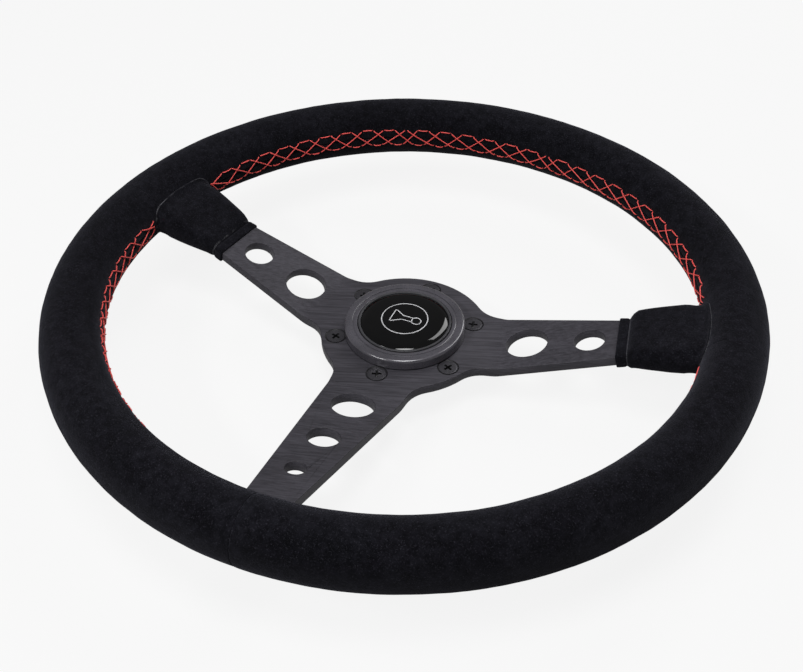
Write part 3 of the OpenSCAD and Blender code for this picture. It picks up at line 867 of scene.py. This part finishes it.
def cross_cutter():
    """Tapered cross with pointed foot."""
    def cross(length, width, z):
        l, w = length / 2, width / 2
        return [(l, w, z), (w, w, z), (w, l, z), (-w, l, z), (-w, w, z), (-l, w, z),
                (-l, -w, z), (-w, -w, z), (-w, -l, z), (w, -l, z), (w, -w, z), (l, -w, z)]
    layers = [cross(5.0, 1.35, 5.6), cross(4.7, 1.25, 4.98), cross(2.1, 0.8, 3.0)]
    points = [p for layer in layers for p in layer]
    points.append((0, 0, 2.5))
    faces = rings_to_faces(3, 12)
    faces.append(tuple(range(11, -1, -1)))
    faces += [(24 + k, 24 + (k + 1) % 12, 36) for k in range(12)]
    return points, faces


def cut_mesh(blank, tool):
    """Mesh of blank with tool cut out; both objects are removed."""
    cut = blank.modifiers.new("cut", "BOOLEAN")
    cut.object = tool
    cut.solver = "EXACT"
    shaped = blank.evaluated_get(bpy.context.evaluated_depsgraph_get())
    mesh = bpy.data.meshes.new_from_object(shaped)
    for o in (blank, tool):
        old = o.data
        bpy.data.objects.remove(o)
        bpy.data.meshes.remove(old)
    return mesh


def hub_screws():
    """Six screws, each left at a turn of its own when it was tightened."""
    mesh = cut_mesh(placed("screw_blank", new_mesh("screw_blank", *one_screw())),
                    placed("screw_tool", new_mesh("screw_tool", *cross_cutter())))
    co = np.array([v.co for v in mesh.vertices])
    polygons = [tuple(p.vertices) for p in mesh.polygons]
    recess = [RECESS_LOW < p.center.z / MM < RECESS_HIGH
              and math.hypot(p.center.x, p.center.y) / MM < RECESS_R for p in mesh.polygons]
    bpy.data.meshes.remove(mesh)
    points, faces = [], []
    for k, spin in enumerate(SCREW_TURNS):
        a, b = rad(30 + 60 * k), rad(spin)
        turned = np.stack([co[:, 0] * math.cos(b) - co[:, 1] * math.sin(b),
                           co[:, 0] * math.sin(b) + co[:, 1] * math.cos(b), co[:, 2]], -1) / MM
        turned[:, 0] += BOLT_CIRCLE / 2 * math.cos(a)
        turned[:, 1] += BOLT_CIRCLE / 2 * math.sin(a)
        base = len(points)
        points += turned.tolist()
        faces += [tuple(base + v for v in f) for f in polygons]
    obj = make("hub_screws_black", points, faces, screw_black, "wheel", recalc=False)
    obj.data.set_sharp_from_angle(angle=rad(32))
    # Painted shade: faces inside each cross recess take the dark recess material
    obj.data.materials.append(recess_painted_shade)
    for face, inside in zip(obj.data.polygons, recess * len(SCREW_TURNS)):
        face.material_index = int(inside)
    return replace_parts(obj, "hub_screws")


hub_screws()


# ---------------------------------------------------------------- horn button

def turned_piece(name, node, profile, radius, material, body, sides=160):
    """Piece turned from a closed profile, which stands for a CAD node."""
    points, faces = lathe(rounded(profile, radius) if radius else profile, sides)
    obj = make(name, points, faces, material, body)
    obj.data.set_sharp_from_angle(angle=rad(40))
    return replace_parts(obj, node)


def bezel_profile():
    """Closed profile of the bezel: wall, rounded shoulder, grooved top and lip."""
    shoulder = 1.4
    arc = [(BEZEL_R - shoulder + shoulder * math.cos(a), BEZEL_TOP - shoulder + shoulder * math.sin(a))
           for a in np.linspace(0, math.pi / 2, 9)]
    groove = [(26.55, 11.0), (26.42, 10.95), (26.34, 10.62), (25.8, 10.62), (25.72, 10.95), (25.6, 11.0)]
    lip = [(24.3, 11.0), (23.95, 10.9), (23.8, 10.65), (23.8, 9.12), (23.92, 9.0), (25.4, 9.0),
           (25.4, 7.1), (28.9, 7.1), (28.9, 5.5), (BEZEL_R - 0.3, 5.5), (BEZEL_R, 5.8)]
    return arc + groove + lip


turned_piece("horn_bezel_ring", "horn_bezel", bezel_profile(), 0, bezel_black, "wheel",
             sides=192)


def emblem_height(r):
    """Top of the domed emblem at distance r from the axis."""
    dome_r = (EMBLEM_R ** 2 + DOME ** 2) / (2 * DOME)
    return EMBLEM_EDGE + DOME - dome_r + math.sqrt(dome_r ** 2 - r * r)


def emblem():
    """Domed emblem. The resin's edge turns down more and more steeply."""
    start, steps = 19.0, 9
    top = [(start, emblem_height(start))]
    for k in range(steps):
        tilt = rad(9 + 19 * (k + 0.5) / steps)
        step = (EMBLEM_R - 0.45 - start) / steps
        top.append((top[-1][0] + step, top[-1][1] - step * math.tan(tilt)))
    r, z = top[-1]
    top += [(r + 0.14, z - 0.09), (r + 0.26, z - 0.20), (r + 0.36, z - 0.35), (r + 0.42, z - 0.52),
            (EMBLEM_R, z - 0.7)]
    rim = [(EMBLEM_R - 0.15, EMBLEM_FLOOR), (EMBLEM_R, EMBLEM_FLOOR + 0.1)]
    inner = [(q, emblem_height(q)) for q in (18, 16.5, 14, 11, 8, 5, 2.5)]
    profile = [(0, EMBLEM_FLOOR)] + rim + list(reversed(top)) + inner + [(0, emblem_height(0))]
    points, faces = lathe(profile, 160)
    obj = make("horn_emblem_dome", points, faces, emblem_black, "horn_button")
    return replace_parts(obj, "horn_emblem")


def symbol():
    """Plain horn pictogram inside a thin ring, raised a hair off the dome."""
    line = 0.26
    outline = [(-6.6, 4.3), (-6.6, -4.3), (-5.6, -4.3), (-1.2, -1.5), (4.0, -1.5), (4.0, 1.5), (-1.2, 1.5),
               (-5.6, 4.3), (-6.6, 4.3)]
    bulb = [(6.2 + 2.4 * math.cos(t), 2.4 * math.sin(t))
            for t in np.linspace(math.pi + 0.68, 3 * math.pi - 0.68, 25)]
    circle = [(11.6 * math.cos(t), 11.6 * math.sin(t)) for t in np.linspace(0, 2 * math.pi, 97)]
    paths = []
    for shape in (outline, bulb, circle):
        dense = []
        for (x0, y0), (x1, y1) in zip(shape[:-1], shape[1:]):
            n = max(1, round(math.hypot(x1 - x0, y1 - y0) / 0.8))
            dense += [(x0 + (x1 - x0) * k / n, y0 + (y1 - y0) * k / n) for k in range(n)]
        dense.append(shape[-1])
        paths.append(dense)
    points, faces = [], []
    for path in paths:
        path = np.array(path)
        closed = np.allclose(path[0], path[-1])
        if closed:
            path = path[:-1]
            tangent = np.roll(path, -1, 0) - np.roll(path, 1, 0)
        else:
            tangent = np.gradient(path, axis=0)
        tangent /= np.linalg.norm(tangent, axis=1)[:, None]
        side = np.stack([-tangent[:, 1], tangent[:, 0]], -1)
        base = len(points)
        for p, q in zip(path, side):
            for share, lift in ((-1, -0.03), (-1, 0.02), (1, 0.02), (1, -0.03)):
                x, y = p + q * line * share
                points.append((x, y, emblem_height(math.hypot(x, y)) + lift))
        faces += rings_to_faces(len(path), 4, closed_run=closed, base=base)
        if not closed:
            faces.append((base, base + 1, base + 2, base + 3))
            tail = base + 4 * (len(path) - 1)
            faces.append((tail + 3, tail + 2, tail + 1, tail))
    return make("horn_symbol", points, faces, print_grey, "horn_button", smooth=False)


emblem()
symbol()

cap_profile = [(0, 3.6), (8.0, 3.6), (8.0, 7.5), (21.9, 7.5), (21.9, 5.0), (23.4, 5.0), (23.4, 7.5),
               (25.0, 7.5), (25.0, 8.7), (23.4, 8.7), (23.4, CAP_TOP), (EMBLEM_R + 0.05, CAP_TOP),
               (EMBLEM_R + 0.05, EMBLEM_FLOOR), (0, EMBLEM_FLOOR)]
turned_piece("horn_cap_moulded", "horn_cap", cap_profile, 0.25, cap_black, "horn_button")


def spring():
    steps = round(48 * SPRING_TURNS)
    t = np.linspace(0, 1, steps + 1)
    a = 2 * math.pi * SPRING_TURNS * t
    # Half a turn lies flat at each end
    flat = 0.5 / SPRING_TURNS
    rise = np.clip((t - flat) / (1 - 2 * flat), 0, 1)
    rise = rise * 0.9 + 0.1 * t
    z = SPRING_LOW + WIRE_R * 0.15 + (SPRING_HIGH - SPRING_LOW - WIRE_R * 1.1) * rise
    path = np.stack([SPRING_R * np.cos(a), SPRING_R * np.sin(a), z], -1)
    normals = np.stack([np.cos(a), np.sin(a), 0 * a], -1)
    points, faces = sweep([(path, normals)], WIRE_R, sides=12)
    obj = make("horn_spring_coil", points, faces, steel, "wheel")
    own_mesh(obj)
    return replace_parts(obj, "horn_spring")


spring()


# ---------------------------------------------------------------- carried-over CAD nodes

def dress(node, material, bevel_mm=0.0, edge=None, welded=False):
    """Gives a CAD node its material, merges doubled points and breaks its sharp edges."""
    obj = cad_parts[node]
    if obj.material_slots:
        for s in obj.material_slots:
            s.material = material
    else:
        obj.data.materials.append(material)
    if bevel_mm or welded:
        weld = obj.modifiers.new("weld", "WELD")
        weld.merge_threshold = 0.01 * MM
    if bevel_mm:
        edge_break = obj.modifiers.new("edge", "BEVEL")
        edge_break.width = bevel_mm * MM
        edge_break.segments = 2
        edge_break.limit_method = "ANGLE"
        edge_break.angle_limit = rad(35)
        edge_break.harden_normals = True
        edge_break.miter_outer = "MITER_ARC"
        if edge:
            obj.data.materials.append(edge)
            edge_break.material = len(obj.data.materials) - 1
    return obj


spokes = dress("spoke_plate", plate, 0.4, plate_edge)
# Front faces take the darker front material; walls and back keep the side material, lightened as painted
# light
spokes.data.materials.append(plate_front)
for face in spokes.data.polygons:
    if face.normal.z > 0.9 and face.center.z > 3 * MM:
        face.material_index = 2
dress("rim_hoop", aluminium, 0.3)
dress("hoop_rivets", aluminium, welded=True)
dress("horn_gasket", rubber)
dress("horn_cup", cup_black, 0.2)
dress("horn_clip", steel, 0.1)
dress("contact_disc", brass)
dress("contact_screw", steel)
dress("contact_ring", brass)
dress("contact_ring_screws", steel)
dress("horn_terminals", brass, 0.12)
dress("rim_foam", foam)


# ---------------------------------------------------------------- stage

# Brightness of the surroundings and the floor, as the camera sees them and as they light the wheel
PALE = 0.93
WORLD_LIGHT = 0.12
FLOOR_LIT = 0.08
FLOOR_GLOW = 0.87
FLOOR_BOUNCE = 0.3
FLOOR_MIRRORED = 0.5


def stage():
    """Pale floor and studio surroundings. What the camera sees is even and pale, and what lights
    the wheel is dimmer, as in a studio with dark corners."""
    mesh = bpy.data.meshes.new("floor")
    size, z = 3.0, -17.6 * MM
    corners = [(-size, -size, z), (size, -size, z), (size, size, z), (-size, size, z)]
    mesh.from_pydata(corners, [], [(0, 1, 2, 3)])
    floor = placed("floor", mesh)
    material = bpy.data.materials.new("floor_pale")
    material.use_nodes = True
    nodes, links = material.node_tree.nodes, material.node_tree.links
    nodes.clear()
    lit, glow, both, bounce, mirrored_glow, unseen, pick = (nodes.new("ShaderNode" + k) for k in (
        "BsdfDiffuse", "Emission", "AddShader", "BsdfDiffuse", "Emission", "MixShader", "MixShader"))
    path = nodes.new("ShaderNodeLightPath")
    lit.inputs["Color"].default_value = (FLOOR_LIT,) * 3 + (1,)
    glow.inputs["Strength"].default_value = FLOOR_GLOW
    bounce.inputs["Color"].default_value = (FLOOR_BOUNCE,) * 3 + (1,)
    mirrored_glow.inputs["Strength"].default_value = FLOOR_MIRRORED
    links.new(lit.outputs[0], both.inputs[0])
    links.new(glow.outputs[0], both.inputs[1])
    links.new(path.outputs["Is Glossy Ray"], unseen.inputs[0])
    links.new(bounce.outputs[0], unseen.inputs[1])
    links.new(mirrored_glow.outputs[0], unseen.inputs[2])
    links.new(path.outputs["Is Camera Ray"], pick.inputs[0])
    links.new(unseen.outputs[0], pick.inputs[1])
    links.new(both.outputs[0], pick.inputs[2])
    links.new(pick.outputs[0], nodes.new("ShaderNodeOutputMaterial").inputs["Surface"])
    mesh.materials.append(material)
    world = bpy.data.worlds.new("studio")
    bpy.context.scene.world = world
    world.use_nodes = True
    nodes, links = world.node_tree.nodes, world.node_tree.links
    back = nodes["Background"]
    back.inputs["Color"].default_value = (1, 1, 1, 1)
    seen = nodes.new("ShaderNodeMapRange")
    seen.inputs["To Min"].default_value = WORLD_LIGHT
    seen.inputs["To Max"].default_value = PALE
    links.new(nodes.new("ShaderNodeLightPath").outputs["Is Camera Ray"], seen.inputs["Value"])
    links.new(seen.outputs["Result"], back.inputs["Strength"])


def direction(azimuth, elevation):
    """Unit vector towards a place in the sky, from angles in degrees."""
    a, e = rad(azimuth), rad(elevation)
    return Vector((math.cos(a) * math.cos(e), math.sin(a) * math.cos(e), math.sin(e)))


def soft_light(name, azimuth, elevation, distance, size, power, height=None):
    """Round or oblong lamp that looks at the hub from distance metres away."""
    data = bpy.data.lights.new(name, "AREA")
    data.shape = "RECTANGLE" if height else "DISK"
    data.size = size
    if height:
        data.size_y = height
    data.energy = power
    lamp = placed(name, data)
    toward = direction(azimuth, elevation)
    lamp.location = toward * distance
    lamp.rotation_euler = toward.to_track_quat("Z", "Y").to_euler()


def camera():
    data = bpy.data.cameras.new("camera")
    data.sensor_fit = "HORIZONTAL"
    data.sensor_width = 36
    data.lens = 51.695
    data.shift_x = -0.013774
    data.shift_y = 0.00803
    data.clip_start = 0.01
    cam = placed("camera", data)
    target, distance = Vector((7.31, -7.30, 5.0)) * MM, 576.39 * MM
    toward = direction(-67.336, 41.471)
    cam.location = target + toward * distance
    cam.rotation_euler = toward.to_track_quat("Z", "Y").to_euler()
    bpy.context.scene.camera = cam


stage()
camera()
soft_light("top", 292, 76, 1.4, 0.6, 9.5)
soft_light("key", 240, 43, 1.3, 0.5, 5.0, height=0.12)
soft_light("back", 76, 42, 1.3, 0.35, 4.0, height=0.8)
bpy.context.scene.view_settings.view_transform = "Standard"
